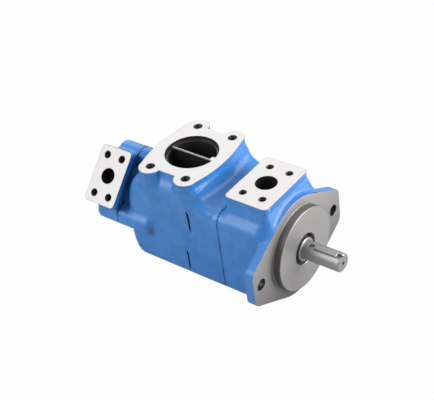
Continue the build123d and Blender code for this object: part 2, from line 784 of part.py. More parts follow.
with BuildPart() as drive_shaft:
    with BuildSketch(Plane.XZ):
        with BuildLine():
            Polyline(
                (shaft_end_x, 0),
                (shaft_end_x, journal_radius - 1.0),
                (shaft_end_x + 1.0, journal_radius),
                (rear_rotor_low - 2.0, journal_radius),
                (rear_rotor_low - 2.0, rear_spline_minor),
                (rear_rotor_high + 2.0, rear_spline_minor),
                (rear_rotor_high + 2.0, front_spline_minor),
                (front_rotor_high + 4.0, front_spline_minor),
                (front_rotor_high + 4.0, front_spline_major),
                (bearing_back_x - 4.0, front_spline_major),
                (bearing_back_x - 4.0, bearing_bore_radius + 3.0),
                (bearing_back_x, bearing_bore_radius + 3.0),
                (bearing_back_x, bearing_bore_radius),
                (bearing_front_x, bearing_bore_radius),
                (bearing_front_x, bearing_bore_radius - snap_ring_depth),
                (snap_groove_x, bearing_bore_radius - snap_ring_depth),
                (snap_groove_x, collar_radius),
                (collar_front_x - 1.0, collar_radius),
                (collar_front_x, collar_radius - 1.0),
                (collar_front_x, shaft_radius),
                (shaft_tip_x - shaft_chamfer, shaft_radius),
                (shaft_tip_x, shaft_radius - shaft_chamfer),
                (shaft_tip_x, centre_hole_radius),
                (shaft_tip_x - centre_hole_depth, centre_hole_radius),
                (shaft_tip_x - centre_hole_depth - centre_hole_radius, 0),
                close=True,
            )
        make_face()
    revolve(axis=Axis.X)
    with BuildSketch(across(front_rotor_low)):
        spline_teeth_outline(front_spline_minor, front_spline_major)
    extrude(amount=front_ring_width)
    with BuildSketch(across(rear_rotor_low)):
        spline_teeth_outline(rear_spline_minor, rear_spline_major)
    extrude(amount=rear_ring_width)
    # the keyway, open at the tip and rounded at its inner end
    key_plane = Plane.XY.rotated((key_lean, 0, 0)).offset(key_bottom)
    with BuildSketch(key_plane):
        with Locations((keyway_low_x + key_width / 2, 0)):
            Circle(key_width / 2)
        with Locations(((keyway_low_x + key_width / 2 + shaft_tip_x + 1) / 2, 0)):
            Rectangle(shaft_tip_x + 1 - keyway_low_x - key_width / 2, key_width)
    extrude(amount=key_height, mode=Mode.SUBTRACT)
finish(drive_shaft, "drive_shaft")

key_low_x = keyway_low_x + keyway_runout
with BuildPart() as shaft_key:
    with BuildSketch(key_plane):
        with Locations((key_low_x + key_length / 2, 0)):
            Rectangle(key_length, key_width - 0.1)
    extrude(amount=key_height)
    key_up = Axis((0, 0, 0), key_plane.z_dir)
    chamfer(shaft_key.faces().sort_by(key_up)[-1].edges(), 0.4)
finish(shaft_key, "shaft_key")

shaft_snap_ring = ring(
    bearing_front_x + 0.05, snap_groove_x - 0.05,
    bearing_bore_radius - snap_ring_depth + 0.05, bearing_bore_radius + 2.6,
)
finish(shaft_snap_ring, "shaft_snap_ring")

# ---- front ball bearing ----------------------------------------------------------------------


def race(inner, outer):
    """One race of the ball bearing, with its ball groove."""
    with BuildPart() as piece:
        with BuildSketch(Plane.XZ):
            with Locations(((bearing_front_x + bearing_back_x) / 2, (inner + outer) / 2)):
                Rectangle(bearing_width, outer - inner)
            with Locations(((bearing_front_x + bearing_back_x) / 2, pitch_radius)):
                Circle(ball_radius + race_clearance, mode=Mode.SUBTRACT)
        revolve(axis=Axis.X)
    return piece


finish(race(bearing_bore_radius, inner_race_radius), "front_bearing_inner_race")
finish(race(outer_race_radius, bearing_outer_radius), "front_bearing_outer_race")

with BuildPart() as front_bearing_balls:
    with Locations(Plane.YZ.offset(bearing_mid_x)):
        with PolarLocations(pitch_radius, ball_count):
            Sphere(ball_radius)
finish(front_bearing_balls, "front_bearing_balls")

with BuildPart() as front_bearing_cage:
    with BuildSketch(across(bearing_mid_x - cage_length / 2)):
        Circle(pitch_radius + cage_half)
        Circle(pitch_radius - cage_half, mode=Mode.SUBTRACT)
    extrude(amount=cage_length)
    with Locations(Plane.YZ.offset(bearing_mid_x)):
        with PolarLocations(pitch_radius, ball_count):
            Cylinder(
                ball_radius + ball_pocket_gap, 4 * cage_half, rotation=(0, 90, 0), mode=Mode.SUBTRACT
            )
finish(front_bearing_cage, "front_bearing_cage")

# ---- rear roller bearing ---------------------------------------------------------------------

finish(
    ring(rear_bearing_x, rear_bearing_x + roller_length + 2.0,
         rear_race_radius, rear_bearing_radius),
    "rear_bearing_outer_ring",
)
with BuildPart() as rear_bearing_rollers:
    with BuildSketch(across(rear_bearing_x + 1.0)):
        with PolarLocations(roller_pitch_radius, roller_count):
            Circle(roller_radius)
    extrude(amount=roller_length)
finish(rear_bearing_rollers, "rear_bearing_rollers")

# ---- vane cartridges -----------------------------------------------------------------------


def cam_radius(angle, major):
    """Distance from the axis to the cam at an angle from +Y: a smooth two-lobed curve."""
    return cam_minor + (major - cam_minor) * (1 - cos(2 * angle)) / 2


def kidneys(first):
    """Two kidney ports through a plate, opposite each other, centred on an angle."""
    for start in (first, first + 180):
        with BuildLine() as path:
            CenterArc((0, 0), kidney_radius, start - kidney_span / 2, kidney_span)
        SlotArc(path.edges()[0], kidney_width, mode=Mode.SUBTRACT)


def fixings(screw=cartridge_screw_radius + thread_clearance):
    """The holes for the two cartridge screws and the two locating pins."""
    with PolarLocations(cartridge_screw_circle, 2):
        Circle(screw, mode=Mode.SUBTRACT)
    with PolarLocations(cartridge_screw_circle, 2, start_angle=pin_angle):
        Circle(pin_radius + thread_clearance, mode=Mode.SUBTRACT)


def plate(x, thickness, radius, bore, kidney_angle):
    """A round plate from x towards +X, with its ports and fixing holes."""
    with BuildPart() as piece:
        with BuildSketch(across(x)):
            Circle(radius)
            Circle(bore, mode=Mode.SUBTRACT)
            kidneys(kidney_angle)
            fixings()
        extrude(amount=thickness)
    return piece


def cartridge(name, mid_x, width, radius, major, out, splines, hub_radius, hub_length):
    """One pumping cartridge. out is +1 if its outlet side faces +X, and -1 if -X."""
    low_x, high_x = mid_x - width / 2, mid_x + width / 2
    outlet_side, inlet_side = (high_x, low_x) if out > 0 else (low_x, high_x)
    minor_spline, major_spline = splines

    with BuildPart() as cam_ring:
        with BuildSketch(across(low_x)):
            Circle(radius)
            with BuildLine():
                around = [2 * pi * step / cam_points for step in range(cam_points)]
                Spline(
                    *[
                        (cam_radius(a, major) * cos(a), cam_radius(a, major) * sin(a))
                        for a in around
                    ],
                    periodic=True,
                )
            make_face(mode=Mode.SUBTRACT)
            fixings()
        extrude(amount=width)
    finish(cam_ring, f"{name}_cam_ring")

    with BuildPart() as rotor:
        with BuildSketch(across(low_x + side_clearance)):
            Circle(rotor_radius)
            with PolarLocations((slot_bottom + rotor_radius) / 2 + 1, vane_count, start_angle=first_vane):
                Rectangle(
                    rotor_radius - slot_bottom + 2,
                    vane_thickness + 2 * slot_clearance,
                    mode=Mode.SUBTRACT,
                )
            with BuildSketch(mode=Mode.PRIVATE) as spline_hole:
                Circle(minor_spline + slot_clearance)
                spline_teeth_outline(minor_spline, major_spline, slot_clearance)
            add(spline_hole.sketch, mode=Mode.SUBTRACT)
        extrude(amount=width - 2 * side_clearance)
    finish(rotor, f"{name}_rotor")

    # flexing side plates against the rotor, and the support plates behind them
    outlet_plate_x = outlet_side if out > 0 else outlet_side - side_plate
    inlet_plate_x = inlet_side - side_plate if out > 0 else inlet_side
    outlet_side_plate = plate(outlet_plate_x, side_plate, radius, plate_bore_radius, outlet_kidney_angle)
    finish(outlet_side_plate, f"{name}_outlet_side_plate")
    inlet_side_plate = plate(inlet_plate_x, side_plate, radius, plate_bore_radius, inlet_kidney_angle)
    finish(inlet_side_plate, f"{name}_inlet_side_plate")

    outlet_back = outlet_side + out * side_plate
    with BuildPart() as outlet_support_plate:
        with BuildSketch(across(outlet_back)):
            Circle(radius)
            kidneys(outlet_kidney_angle)
            fixings()
        extrude(amount=out * outlet_plate)
        with BuildSketch(across(outlet_back + out * outlet_plate)):
            Circle(hub_radius)
        extrude(amount=out * hub_length)
        with BuildSketch(across(outlet_back)):
            Circle(plate_bore_radius)
        extrude(amount=out * (outlet_plate + hub_length), mode=Mode.SUBTRACT)
        seal_low = outlet_back + out * (outlet_plate + hub_length - 2.0)
        with BuildSketch(across(seal_low)):
            Circle(hub_radius + 1)
            Circle(hub_radius - hub_seal, mode=Mode.SUBTRACT)
        extrude(amount=-out * hub_seal, mode=Mode.SUBTRACT)
    finish(outlet_support_plate, f"{name}_outlet_support_plate")

    ends = sorted((seal_low - out * 0.1, seal_low - out * (hub_seal - 0.1)))
    hub_seal_ring = ring(*ends, hub_radius - hub_seal + 0.05, hub_radius)
    finish(hub_seal_ring, f"{name}_hub_seal")

    inlet_back = inlet_side - out * side_plate
    with BuildPart() as inlet_support_plate:
        with BuildSketch(across(inlet_back)):
            Circle(radius)
            Circle(plate_bore_radius, mode=Mode.SUBTRACT)
            kidneys(inlet_kidney_angle)
            fixings()
        extrude(amount=-out * inlet_plate)
        with BuildSketch(across(inlet_back - out * inlet_plate)):
            with PolarLocations(cartridge_screw_circle, 2):
                Circle(cartridge_head_radius + 0.2)
        extrude(amount=out * cartridge_head_height, mode=Mode.SUBTRACT)
    finish(inlet_support_plate, f"{name}_inlet_support_plate")

    head_x = inlet_back - out * (inlet_plate - cartridge_head_height)
    with BuildPart() as cartridge_screws:
        with BuildSketch(across(head_x)):
            with PolarLocations(cartridge_screw_circle, 2):
                Circle(cartridge_screw_radius)
        extrude(
            amount=out * (inlet_plate - cartridge_head_height + 2 * side_plate + width + outlet_plate - 1)
        )
        with BuildSketch(across(head_x)):
            with PolarLocations(cartridge_screw_circle, 2):
                Circle(cartridge_head_radius)
        extrude(amount=-out * (cartridge_head_height - 0.3))
    finish(cartridge_screws, f"{name}_cartridge_screws")

    # vanes, each with a notch at its root over the small insert that stays in the slot
    insert_width = width * insert_share
    with BuildPart() as inserts:
        with BuildSketch(across(mid_x - insert_width / 2)):
            with PolarLocations(slot_bottom + insert_gap + insert_height / 2, vane_count, start_angle=first_vane):
                Rectangle(insert_height, vane_thickness)
        extrude(amount=insert_width)
    finish(inserts, f"{name}_vane_inserts")

    for number in range(vane_count):
        angle = first_vane + number * 360 / vane_count
        facing = Plane(
            origin=(0, 0, 0), x_dir=(1, 0, 0),
            z_dir=(0, -sin(radians(angle)), cos(radians(angle))),
        )
        notch_top = slot_bottom + insert_gap + insert_height + vane_retraction + slot_floor_gap
        with BuildPart() as vane:
            with BuildSketch(facing.offset(-vane_thickness / 2)):
                with Locations((mid_x, (vane_rest_root + vane_rest_tip) / 2)):
                    Rectangle(width - 2 * side_clearance, vane_height)
                with Locations((mid_x, (vane_rest_root - 1 + notch_top) / 2)):
                    Rectangle(
                        insert_width + 2 * insert_gap, notch_top - vane_rest_root + 1, mode=Mode.SUBTRACT
                    )
            extrude(amount=vane_thickness)
        finish(vane, f"{name}_vane_{number + 1:02d}")


cartridge(
    "front", front_ring_x, front_ring_width, front_ring_radius, front_cam_major, 1,
    (front_spline_minor, front_spline_major), front_hub_radius, front_hub_length,
)
cartridge(
    "rear", rear_ring_x, rear_ring_width, rear_ring_radius, rear_cam_major, -1,
    (rear_spline_minor, rear_spline_major), rear_hub_radius, rear_hub_length,
)

# locating pins through both cartridges
pin_spots = [
    (front_ring_x, front_ring_width), (rear_ring_x, rear_ring_width),
]
with BuildPart() as locating_pins:
    for pin_x, ring_width in pin_spots:
        pin_length = ring_width + 2 * side_plate + outlet_plate
        with BuildSketch(across(pin_x - pin_length / 2)):
            with PolarLocations(cartridge_screw_circle, 2, start_angle=pin_angle):
                Circle(pin_radius)
        extrude(amount=pin_length)
finish(locating_pins, "locating_pins")
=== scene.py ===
# %% [markdown]
# # A double vane pump in a studio
# The pump's solids arrive ready made, at their real size. This notebook gives them their
# finish: blue paint over cast iron, bare machined port faces, turned and ground steel, and
# a plain pale studio. Every place and size comes from the loaded solids or from a few named
# values, in metres but for the cast skins, which are worked out in millimetres.

# %% Load the solids
import bpy
import json
import numpy as np
from mathutils import Matrix, Vector


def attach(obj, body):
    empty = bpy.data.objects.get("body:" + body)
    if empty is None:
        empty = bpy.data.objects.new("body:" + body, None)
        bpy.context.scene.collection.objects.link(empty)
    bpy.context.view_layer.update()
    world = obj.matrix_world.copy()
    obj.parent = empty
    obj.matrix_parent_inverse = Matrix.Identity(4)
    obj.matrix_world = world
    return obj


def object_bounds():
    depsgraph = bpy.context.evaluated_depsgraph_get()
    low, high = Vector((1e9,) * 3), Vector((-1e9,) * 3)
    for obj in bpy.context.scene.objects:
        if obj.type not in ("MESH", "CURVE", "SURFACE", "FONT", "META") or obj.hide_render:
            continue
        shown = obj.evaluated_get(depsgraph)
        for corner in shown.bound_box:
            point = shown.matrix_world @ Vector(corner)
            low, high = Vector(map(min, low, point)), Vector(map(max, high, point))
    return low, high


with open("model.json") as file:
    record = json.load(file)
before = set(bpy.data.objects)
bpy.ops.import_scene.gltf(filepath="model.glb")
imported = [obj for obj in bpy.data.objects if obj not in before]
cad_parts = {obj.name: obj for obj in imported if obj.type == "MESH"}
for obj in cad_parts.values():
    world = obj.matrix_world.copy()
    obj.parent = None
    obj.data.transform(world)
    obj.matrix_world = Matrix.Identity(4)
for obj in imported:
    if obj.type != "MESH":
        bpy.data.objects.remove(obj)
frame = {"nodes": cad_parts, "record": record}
nodes = frame["nodes"]
record = frame["record"]
cad_low, cad_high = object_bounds()
mounts = {mount["name"]: mount for mount in record["mounts"]}
print(len(nodes), "solids, box", tuple(cad_low), tuple(cad_high))

# %% [markdown]
# ## The camera
# A long lens looks down on the pump from its shaft end. The two directions below are the
# camera's own right and forward, and their cross product is its up. A camera in Blender looks
# along its own -Z, so right, up and forward with its sign changed are the columns of its
# rotation.

# %% Camera
camera_place = Vector((0.544899, -0.72919, 0.779526))
camera_right = Vector((0.794964, 0.595378, -0.116434))
camera_forward = Vector((-0.530354, 0.588873, -0.60988))
camera_lens = 88.067
camera_up = camera_right.cross(camera_forward)

camera_data = bpy.data.cameras.new("camera")
camera_data.lens = camera_lens
camera_data.sensor_width = 36.0
camera_data.sensor_fit = "HORIZONTAL"
camera_data.clip_start = 0.05
camera = bpy.data.objects.new("camera", camera_data)
turn = Matrix((camera_right, camera_up, -camera_forward)).transposed()
camera.matrix_world = Matrix.Translation(camera_place) @ turn.to_4x4()
bpy.context.scene.collection.objects.link(camera)
bpy.context.scene.camera = camera

# %% [markdown]
# ## Light
# The pump stands in a white tent: a dim sky and four large soft lamps, one above it, one
# behind it, a strong one past the shaft end and one on the viewer's left. The camera itself
# sees plain white.

# %% Sky and lamps
sky_tint = (0.95, 0.97, 1.0, 1.0)
sky_strength = 0.42
plain_white = (1.0, 1.0, 1.0, 1.0)

scene = bpy.context.scene
scene.view_settings.view_transform = "Standard"
world = bpy.data.worlds.new("tent")
scene.world = world
world.use_nodes = True
sky = world.node_tree
sky_out = sky.nodes["World Output"]
sky_light = sky.nodes["Background"]
sky_light.inputs["Color"].default_value = sky_tint
sky_light.inputs["Strength"].default_value = sky_strength
sky_white = sky.nodes.new("ShaderNodeBackground")
sky_white.inputs["Color"].default_value = plain_white
sky_white.inputs["Strength"].default_value = 1.0
sky_path = sky.nodes.new("ShaderNodeLightPath")
sky_mix = sky.nodes.new("ShaderNodeMixShader")
sky.links.new(sky_path.outputs["Is Camera Ray"], sky_mix.inputs[0])
sky.links.new(sky_light.outputs[0], sky_mix.inputs[1])
sky.links.new(sky_white.outputs[0], sky_mix.inputs[2])
sky.links.new(sky_mix.outputs[0], sky_out.inputs["Surface"])

middle = (cad_low + cad_high) / 2


def soft_lamp(name, offset, size, power):
    """A square area lamp at an offset from the pump's middle, aimed at it."""
    lamp = bpy.data.lights.new(name, "AREA")
    lamp.shape = "SQUARE"
    lamp.size = size
    lamp.energy = power
    holder = bpy.data.objects.new(name, lamp)
    holder.location = middle + Vector(offset)
    holder.rotation_mode = "QUATERNION"
    holder.rotation_quaternion = (-Vector(offset)).to_track_quat("-Z", "Y")
    scene.collection.objects.link(holder)


soft_lamp("lamp_above", (0.1, 0.1, 1.0), 0.9, 3.2)
soft_lamp("lamp_behind", (-0.65, 0.7, 0.7), 0.9, 4.5)
soft_lamp("lamp_right", (1.0, 0.50, 0.40), 0.8, 16.0)
soft_lamp("lamp_left", (-0.6, -0.90, 0.75), 0.8, 9.0)

# %% [markdown]
# ## Floor
# A plane under the pump. It is lit like any white floor, so it takes the pump's shadow, and
# the camera also sees a share of plain white in it, which keeps the ground pale.

# %% Floor
floor_half = 6.0
floor_gap = 0.0005
floor_grey = (0.55, 0.55, 0.56, 1.0)
floor_white_share = 0.97

floor_z = cad_low.z - floor_gap
floor_mesh = bpy.data.meshes.new("floor")
floor_mesh.from_pydata(
    [(-floor_half, -floor_half, floor_z), (floor_half, -floor_half, floor_z),
     (floor_half, floor_half, floor_z), (-floor_half, floor_half, floor_z)],
    [], [(0, 1, 2, 3)],
)
floor = bpy.data.objects.new("floor", floor_mesh)
scene.collection.objects.link(floor)
floor_paint = bpy.data.materials.new("floor_white")
floor_paint.use_nodes = True
tree = floor_paint.node_tree
tree.nodes.clear()
floor_out = tree.nodes.new("ShaderNodeOutputMaterial")
floor_matt = tree.nodes.new("ShaderNodeBsdfDiffuse")
floor_matt.inputs["Color"].default_value = floor_grey
floor_glow = tree.nodes.new("ShaderNodeEmission")
floor_glow.inputs["Strength"].default_value = 1.0
floor_path = tree.nodes.new("ShaderNodeLightPath")
floor_share = tree.nodes.new("ShaderNodeMath")
floor_share.operation = "MULTIPLY"
floor_share.inputs[1].default_value = floor_white_share
floor_mix = tree.nodes.new("ShaderNodeMixShader")
tree.links.new(floor_path.outputs["Is Camera Ray"], floor_share.inputs[0])
tree.links.new(floor_share.outputs[0], floor_mix.inputs[0])
tree.links.new(floor_matt.outputs[0], floor_mix.inputs[1])
tree.links.new(floor_glow.outputs[0], floor_mix.inputs[2])
tree.links.new(floor_mix.outputs[0], floor_out.inputs["Surface"])
floor_mesh.materials.append(floor_paint)

# %% [markdown]
# ## A small kit for materials
# A finish is a Principled shader whose colour, roughness and bump come from noise read in the
# pump's own coordinates. Castings are painted but for their machined faces, so a finish also
# needs masks: a mask is 1 past a plane, or in a bore, and 0 elsewhere.


# %% Material kit
class Finish:
    """A material being built: a few short helpers over its node tree."""

    def __init__(self, name):
        self.material = bpy.data.materials.new(name)
        self.material.use_nodes = True
        self.tree = self.material.node_tree
        self.shader = self.tree.nodes["Principled BSDF"]
        self.place = self.tree.nodes.new("ShaderNodeTexCoord").outputs["Object"]

    def set(self, **values):
        """Sets the shader's own sockets, named in lower case with underscores."""
        for socket, value in values.items():
            self.shader.inputs[socket.replace("_", " ").title()].default_value = value

    def math(self, kind, first, second=None, third=None):
        node = self.tree.nodes.new("ShaderNodeMath")
        node.operation = kind
        for socket, value in zip(node.inputs, (first, second, third)):
            self.feed(socket, value)
        return node.outputs[0]

    def vector(self, kind, first, second=None):
        node = self.tree.nodes.new("ShaderNodeVectorMath")
        node.operation = kind
        for socket, value in zip(node.inputs, (first, second)):
            self.feed(socket, value)
        scalar = kind in ("DOT_PRODUCT", "LENGTH")
        return node.outputs["Value" if scalar else "Vector"]

    def feed(self, socket, value):
        """Links a node's output to a socket, or sets the socket to a plain value."""
        if value is None:
            return
        if isinstance(value, bpy.types.NodeSocket):
            self.tree.links.new(value, socket)
        else:
            socket.default_value = value

    def noise(self, scale, detail=3.0, rough=0.55, place=None):
        node = self.tree.nodes.new("ShaderNodeTexNoise")
        node.inputs["Scale"].default_value = scale
        node.inputs["Detail"].default_value = detail
        node.inputs["Roughness"].default_value = rough
        self.tree.links.new(place or self.place, node.inputs["Vector"])
        return node.outputs["Fac"]

    def spread(self, value, low, high, to_low=0.0, to_high=1.0):
        """Maps low..high to to_low..to_high, and holds the ends beyond."""
        node = self.tree.nodes.new("ShaderNodeMapRange")
        self.feed(node.inputs["Value"], value)
        for socket, number in (
            ("From Min", low), ("From Max", high), ("To Min", to_low), ("To Max", to_high)
        ):
            node.inputs[socket].default_value = number
        return node.outputs[0]

    def blend(self, share, first, second):
        """Mixes two colours or two numbers by a share from 0 to 1."""
        colour = not isinstance(first, float) or not isinstance(second, float)
        node = self.tree.nodes.new("ShaderNodeMix")
        node.data_type = "RGBA" if colour else "FLOAT"
        inputs = [s for s in node.inputs if s.enabled]
        for socket, value in zip(inputs, (share, first, second)):
            self.feed(socket, value)
        return next(s for s in node.outputs if s.enabled)

    def scaled(self, value, share):
        """A colour times a number."""
        product = self.vector("SCALE", value)
        self.feed(product.node.inputs["Scale"], share)
        return product

    def past_plane(self, facing, distance):
        """1 where the point lies past the plane facing . point = distance."""
        along = self.vector("DOT_PRODUCT", self.place, tuple(facing))
        return self.math("GREATER_THAN", along, distance)

    def from_axis(self, point, axis):
        """Distance from the line through a point along an axis."""
        arm = self.vector("SUBTRACT", self.place, tuple(point))
        return self.vector("LENGTH", self.vector("CROSS_PRODUCT", arm, tuple(axis)))

    def in_bore(self, point, axis, radius, depth):
        """1 within a radius of the line through a point along an axis, down to a depth."""
        near = self.math("LESS_THAN", self.from_axis(point, axis), radius)
        above = self.past_plane(axis, Vector(axis).dot(Vector(point)) - depth)
        return self.both(near, above)

    def both(self, first, second):
        """1 where two masks are both 1."""
        return self.math("MULTIPLY", first, second)

    def any_of(self, masks):
        """1 where any of the masks is 1."""
        total = masks[0]
        for mask in masks[1:]:
            total = self.math("MAXIMUM", total, mask)
        return total

    def crevice(self, reach):
        """0 deep in a joint or corner, rising to 1 where the surface lies open."""
        node = self.tree.nodes.new("ShaderNodeAmbientOcclusion")
        node.samples = 8
        node.inputs["Distance"].default_value = reach
        return node.outputs["AO"]

    def soft_edges(self, radius):
        """The surface's direction with its edges and inner corners rounded off."""
        node = self.tree.nodes.new("ShaderNodeBevel")
        node.samples = 6
        node.inputs["Radius"].default_value = radius
        return node.outputs[0]

    def bump(self, height, strength, distance, direction=None):
        """Tilts the shading by a height, over the surface's direction or another one."""
        node = self.tree.nodes.new("ShaderNodeBump")
        node.inputs["Strength"].default_value = strength
        node.inputs["Distance"].default_value = distance
        self.feed(node.inputs["Height"], height)
        self.feed(node.inputs["Normal"], direction)
        self.tree.links.new(node.outputs[0], self.shader.inputs["Normal"])

    def colour(self, value):
        self.feed(self.shader.inputs["Base Color"], value)


def dress(node_names, material):
    """Gives CAD nodes one material in place of their own."""
    for name in node_names:
        mesh = nodes[name].data
        mesh.materials.clear()
        mesh.materials.append(material)


# %% [markdown]
# ## Painted castings
# Each casting is sprayed blue after its faces are masked. The paint follows the grainy cast
# skin, so it has a broad waviness and a fine orange peel. A port face is milled bare: almost
# white in this light. The mounting face and pilot are turned, so their fine grooves are rings
# about the shaft, made by reading noise along the radius alone. Painted light makes the turned
# face lighter at the top and darker at the bottom, and the pilot's side wall has painted shade.
# Bores are painted near black as shade. Gaps between pieces and other sheltered places get
# painted shade, darker by how much of the surroundings hides them.

# %% Casting finish
paint_blue = (0.038, 0.222, 0.585, 1.0)
paint_deep = (0.025, 0.166, 0.490, 1.0)
# Painted shade: the near black of creases and gaps.
painted_crease_shade = (0.004, 0.016, 0.045, 1.0)
milled_white = (0.585, 0.565, 0.56, 1.0)
turned_grey = (0.405, 0.39, 0.38, 1.0)
# The dark of the turned rings, also used as painted shade on the pilot's side wall.
ring_dark_and_side_shade = (0.13, 0.125, 0.12, 1.0)
# Painted shade: the near black inside bores.
bore_painted_shade = (0.018, 0.017, 0.016, 1.0)
# A painted highlight along the web's far half; the rest of its top is dull grey.
web_painted_highlight = (0.40, 0.39, 0.38, 1.0)
web_dull = (0.09, 0.088, 0.085, 1.0)

# How far below its face each bore's wall is bare, painted near black as shade.
outlet_1_depth, outlet_1_hole_depth = 0.045, 0.021
inlet_depth, inlet_hole_depth = 0.075, 0.028
outlet_2_depth, outlet_2_hole_depth = 0.04, 0.018
ear_hole_depth = 0.0105

# Other lengths.
web_stripe = 0.0004
web_drop = 0.0026
throat_radius = 0.0287
throat_mask_depth = 0.01
mask_edge = 0.00025
bore_gap = 0.0003
# Reaches of the painted shade in creases and in shelter.
crease_shade_reach = 0.006
shelter_shade_reach = 0.028
edge_radius = 0.0011
pilot_step = 0.0009
pilot_side = 0.0006
skin_relief = 0.0004

# Noise: how many cells to the metre, how many finer layers, and how strong those are.
broad_noise = (22.0, 3.0)
lump_noise = (150.0, 3.0, 0.5)
grain_noise = (420.0, 4.0, 0.6)
peel_noise = (1400.0, 2.0)
ring_noise = (2600.0, 2.0, 0.5)
noise_low, noise_high = 0.3, 0.7
cloud_low, cloud_high = 0.38, 0.62
lump_share = 0.4
lump_height = 3.0
grain_share = 0.6
milling_dark = 0.94
ring_height = 0.5
ring_blur = 0.75
# Painted light at the flange's top and painted shade at its bottom, as factors on its colour.
flange_top_light, flange_bottom_shade = 1.16, 0.50
crease_shade_range, shelter_shade_range, shelter_shade_dark = (0.25, 0.72), (0.25, 0.85), 0.60
milled_metal, turned_metal_share = 0.25, 0.7
skin_bump = 0.12
paint_rough, bare_extra_rough = 0.42, 0.02
paint_coat = 0.3
paint_coat_rough = 0.34


def paint_with_shade(finish, lumps):
    """Blue that wanders over a few centimetres, with painted shade: darker in shelter and near
    black in a gap.
    """
    broad = finish.math("MULTIPLY", finish.noise(*broad_noise), 1.0 - lump_share)
    cloud = finish.math("ADD", broad, finish.math("MULTIPLY", lumps, lump_share))
    paint = finish.blend(finish.spread(cloud, cloud_low, cloud_high), paint_deep, paint_blue)
    # Painted shade: near black deep in joints and creases, and darker wherever the surroundings
    # hide the surface.
    open_share = finish.spread(finish.crevice(crease_shade_reach), *crease_shade_range)
    paint = finish.blend(open_share, painted_crease_shade, paint)
    sheltered = finish.spread(finish.crevice(shelter_shade_reach), *shelter_shade_range, shelter_shade_dark)
    return finish.scaled(paint, sheltered)


def turned_metal(finish, plane, point, axis, rim):
    """The turned face past a plane, with rings about an axis. Outside the rim radius, the
    pilot's, painted light makes it lighter at the top and painted shade darker at the bottom,
    and the pilot's own side wall is painted dark as shade. Returns the face's mask, its colour
    and its rings."""
    away = finish.from_axis(point, axis)
    cut = finish.past_plane(*plane)
    on_flange = finish.both(cut, finish.math("GREATER_THAN", away, rim))
    raised = finish.past_plane(plane[0], plane[1] + pilot_step)
    side_in_shade = finish.both(raised, finish.math("GREATER_THAN", away, rim - pilot_side))
    radius_alone = finish.tree.nodes.new("ShaderNodeCombineXYZ")
    finish.feed(radius_alone.inputs[0], away)
    rings = finish.noise(*ring_noise, radius_alone.outputs[0])
    ring_share = finish.spread(rings, noise_low, noise_high)
    tone = finish.blend(ring_share, turned_grey, ring_dark_and_side_shade)
    tone = finish.blend(ring_blur, tone, turned_grey)
    # Painted shade on the pilot's side wall.
    tone = finish.blend(side_in_shade, tone, ring_dark_and_side_shade)
    # Painted light and shade: the flange face lighter at the top, darker at the bottom.
    height = finish.vector("DOT_PRODUCT", finish.place, (0.0, 0.0, 1.0))
    lift = finish.scaled(tone, finish.spread(height, -rim, rim, flange_bottom_shade, flange_top_light))
    return cut, finish.blend(on_flange, tone, lift), rings


def casting(name, milled, turned, bores, web=None):
    """Paint, with bare zones: milled faces, a turned face, bores in painted shade and a web
    with a painted highlight.
    """
    finish = Finish(name)
    lumps, grain = finish.noise(*lump_noise), finish.noise(*grain_noise)
    # Bores are painted near black as shade.
    holes = finish.any_of([finish.in_bore(*bore) for bore in bores])
    colour = finish.blend(holes, paint_with_shade(finish, lumps), bore_painted_shade)
    if web:
        # The web's top is dull grey, with a painted highlight along its far half.
        edge = finish.both(finish.past_plane(*web[0]), finish.in_bore(*web[1]))
        stripe = finish.past_plane((0.0, 1.0, 0.0), web_stripe)
        colour = finish.blend(edge, colour, finish.blend(stripe, web_dull, web_painted_highlight))
    bare = finish.any_of([finish.past_plane(*plane) for plane in milled])
    milling = finish.spread(grain, noise_low, noise_high, milling_dark)
    face = finish.scaled(milled_white[:3], milling)
    colour = finish.blend(bare, colour, face)
    metal = finish.math("MULTIPLY", bare, milled_metal)
    peel = finish.math("MULTIPLY", finish.noise(*peel_noise), 1.0 - grain_share)
    height = finish.math("MULTIPLY_ADD", grain, grain_share, peel)
    wavy = finish.math("MULTIPLY", lumps, finish.math("SUBTRACT", 1.0, bare))
    height = finish.math("MULTIPLY_ADD", wavy, lump_height, height)
    if turned:
        cut, tone, rings = turned_metal(finish, *turned)
        colour = finish.blend(cut, colour, tone)
        turned_share = finish.math("MULTIPLY", cut, turned_metal_share)
        metal = finish.math("MAXIMUM", metal, turned_share)
        height = finish.blend(cut, height, finish.math("MULTIPLY", rings, ring_height))
        bare = finish.math("MAXIMUM", bare, cut)
    finish.bump(height, skin_bump, skin_relief, finish.soft_edges(edge_radius))
    finish.colour(colour)
    finish.feed(finish.shader.inputs["Metallic"], metal)
    rough = finish.math("MULTIPLY_ADD", bare, bare_extra_rough, paint_rough)
    finish.feed(finish.shader.inputs["Roughness"], rough)
    painted = finish.math("SUBTRACT", 1.0, bare)
    coat = finish.math("MULTIPLY", painted, paint_coat)
    finish.feed(finish.shader.inputs["Coat Weight"], coat)
    finish.set(coat_roughness=paint_coat_rough)
    return finish.material


def face_of(mount_name):
    """The plane of a mount's face, as (facing, distance just inside it)."""
    mount = mounts[mount_name]
    facing = Vector(mount["axis"])
    return facing, facing.dot(Vector(mount["pos_m"])) - mask_edge


def bore_of(mount_name, depth):
    """A round mount's point and axis, a radius just past its wall, and a depth below."""
    mount = mounts[mount_name]
    radius = mount["dims"]["r_mm"] / 1000 + bore_gap
    return Vector(mount["pos_m"]), Vector(mount["axis"]), radius, depth


